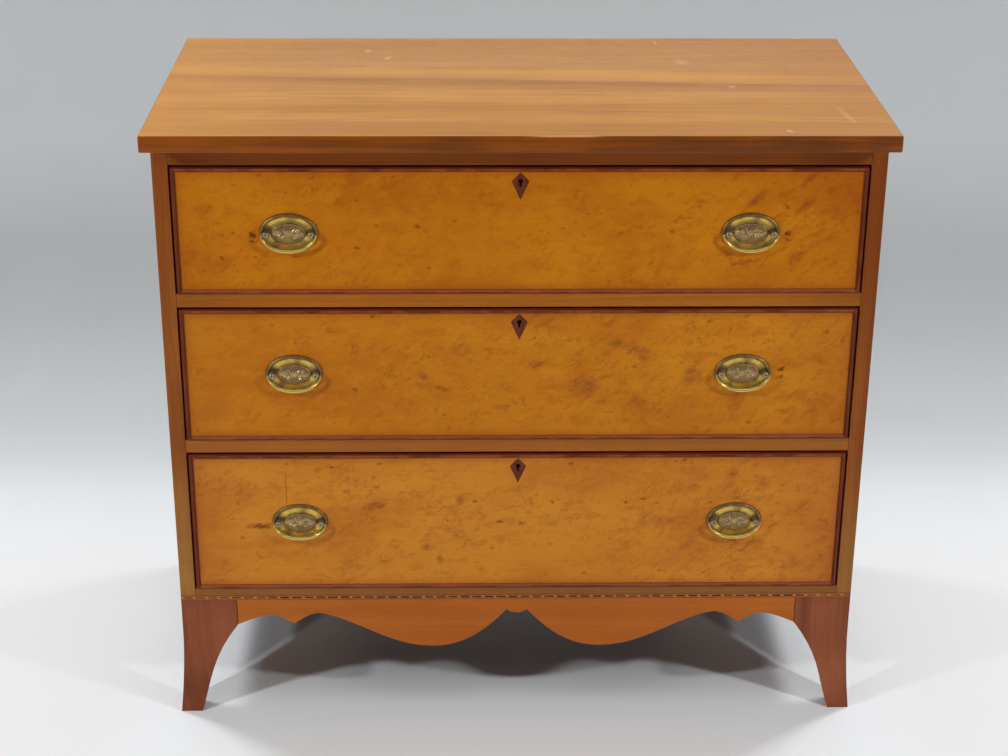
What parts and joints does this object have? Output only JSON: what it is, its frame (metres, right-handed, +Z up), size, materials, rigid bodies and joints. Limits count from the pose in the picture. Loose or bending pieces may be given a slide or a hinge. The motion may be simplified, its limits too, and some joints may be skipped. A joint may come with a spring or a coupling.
{
  "type": "chest of drawers",
  "caption": "Cherry chest with graduated sliding drawers in figured maple, kite keyhole escutcheons and locks, oval brass bail pulls, scalloped apron and splayed bracket feet.",
  "frame": {"origin": "on the floor, under the middle of the top board", "axes": "+X to the right along the front, +Y from the front to the back, +Z up"},
  "size_m": [1.018, 0.5246, 0.9185],
  "materials": {
    "cherry_top": "polished",
    "cherry_case": "polished",
    "cherry_foot": "satin",
    "cherry_apron": "satin",
    "figured_maple": "polished",
    "dark_bead": "polished",
    "inlay_woods": "satin",
    "poplar": "matte",
    "aged_brass": "satin",
    "lock_brass": "satin",
    "lock_steel": "satin"
  },
  "bodies": {
    "case": {"top_board": "cherry_top", "side_left": "cherry_case", "side_right": "cherry_case", "top_rail": "cherry_case", "divider_upper": "cherry_case", "divider_lower": "cherry_case", "case_bottom": "cherry_case", "back_board_upper": "poplar", "back_board_lower": "poplar", "runner_upper_left": "poplar", "runner_upper_right": "poplar", "runner_lower_left": "poplar", "runner_lower_right": "poplar", "rope_inlay": "inlay_woods", "apron": "cherry_apron", "front_foot_left": "cherry_foot", "front_foot_right": "cherry_foot", "base_side_left": "cherry_case", "base_side_right": "cherry_case", "rear_foot_left": "poplar", "rear_foot_right": "poplar"},
    "top_drawer": {"top_drawer_front": "figured_maple", "top_drawer_side_left": "poplar", "top_drawer_side_right": "poplar", "top_drawer_back": "poplar", "top_drawer_bottom": "poplar", "top_drawer_cockbead": "dark_bead", "top_drawer_escutcheon": "dark_bead", "top_drawer_lock_case": "lock_brass", "top_drawer_pull_plate_left": "aged_brass", "top_drawer_pull_plate_right": "aged_brass"},
    "top_drawer_bolt": {"top_drawer_lock_bolt": "lock_steel"},
    "top_drawer_bail_left": {"top_drawer_bail_left": "aged_brass"},
    "top_drawer_bail_right": {"top_drawer_bail_right": "aged_brass"},
    "middle_drawer": {"middle_drawer_front": "figured_maple", "middle_drawer_side_left": "poplar", "middle_drawer_side_right": "poplar", "middle_drawer_back": "poplar", "middle_drawer_bottom": "poplar", "middle_drawer_cockbead": "dark_bead", "middle_drawer_escutcheon": "dark_bead", "middle_drawer_lock_case": "lock_brass", "middle_drawer_pull_plate_left": "aged_brass", "middle_drawer_pull_plate_right": "aged_brass"},
    "middle_drawer_bolt": {"middle_drawer_lock_bolt": "lock_steel"},
    "middle_drawer_bail_left": {"middle_drawer_bail_left": "aged_brass"},
    "middle_drawer_bail_right": {"middle_drawer_bail_right": "aged_brass"},
    "bottom_drawer": {"bottom_drawer_front": "figured_maple", "bottom_drawer_side_left": "poplar", "bottom_drawer_side_right": "poplar", "bottom_drawer_back": "poplar", "bottom_drawer_bottom": "poplar", "bottom_drawer_cockbead": "dark_bead", "bottom_drawer_escutcheon": "dark_bead", "bottom_drawer_lock_case": "lock_brass", "bottom_drawer_pull_plate_left": "aged_brass", "bottom_drawer_pull_plate_right": "aged_brass"},
    "bottom_drawer_bolt": {"bottom_drawer_lock_bolt": "lock_steel"},
    "bottom_drawer_bail_left": {"bottom_drawer_bail_left": "aged_brass"},
    "bottom_drawer_bail_right": {"bottom_drawer_bail_right": "aged_brass"}
  },
  "joints": [
    {"name": "top_drawer_slide", "type": "slide", "parent": "case", "child": "top_drawer", "axis": [0, -1, 0], "range_m": [0, 0.33]},
    {"name": "top_drawer_bolt_slide", "type": "slide", "parent": "top_drawer", "child": "top_drawer_bolt", "axis": [0, 0, 1], "range_m": [0, 0.008]},
    {"name": "top_drawer_bail_left_swing", "type": "hinge", "parent": "top_drawer", "child": "top_drawer_bail_left", "pos_m": [-0.318, -0.22925, 0.7679], "axis": [-1, 0, 0], "range_deg": [-6, 175]},
    {"name": "top_drawer_bail_right_swing", "type": "hinge", "parent": "top_drawer", "child": "top_drawer_bail_right", "pos_m": [0.318, -0.22925, 0.7679], "axis": [-1, 0, 0], "range_deg": [-6, 175]},
    {"name": "middle_drawer_slide", "type": "slide", "parent": "case", "child": "middle_drawer", "axis": [0, -1, 0], "range_m": [0, 0.33]},
    {"name": "middle_drawer_bolt_slide", "type": "slide", "parent": "middle_drawer", "child": "middle_drawer_bolt", "axis": [0, 0, 1], "range_m": [0, 0.008]},
    {"name": "middle_drawer_bail_left_swing", "type": "hinge", "parent": "middle_drawer", "child": "middle_drawer_bail_left", "pos_m": [-0.318, -0.22925, 0.5574], "axis": [-1, 0, 0], "range_deg": [-6, 175]},
    {"name": "middle_drawer_bail_right_swing", "type": "hinge", "parent": "middle_drawer", "child": "middle_drawer_bail_right", "pos_m": [0.318, -0.22925, 0.5574], "axis": [-1, 0, 0], "range_deg": [-6, 175]},
    {"name": "bottom_drawer_slide", "type": "slide", "parent": "case", "child": "bottom_drawer", "axis": [0, -1, 0], "range_m": [0, 0.33]},
    {"name": "bottom_drawer_bolt_slide", "type": "slide", "parent": "bottom_drawer", "child": "bottom_drawer_bolt", "axis": [0, 0, 1], "range_m": [0, 0.008]},
    {"name": "bottom_drawer_bail_left_swing", "type": "hinge", "parent": "bottom_drawer", "child": "bottom_drawer_bail_left", "pos_m": [-0.318, -0.22925, 0.3209], "axis": [-1, 0, 0], "range_deg": [-6, 175]},
    {"name": "bottom_drawer_bail_right_swing", "type": "hinge", "parent": "bottom_drawer", "child": "bottom_drawer_bail_right", "pos_m": [0.318, -0.22925, 0.3209], "axis": [-1, 0, 0], "range_deg": [-6, 175]}
  ]
}
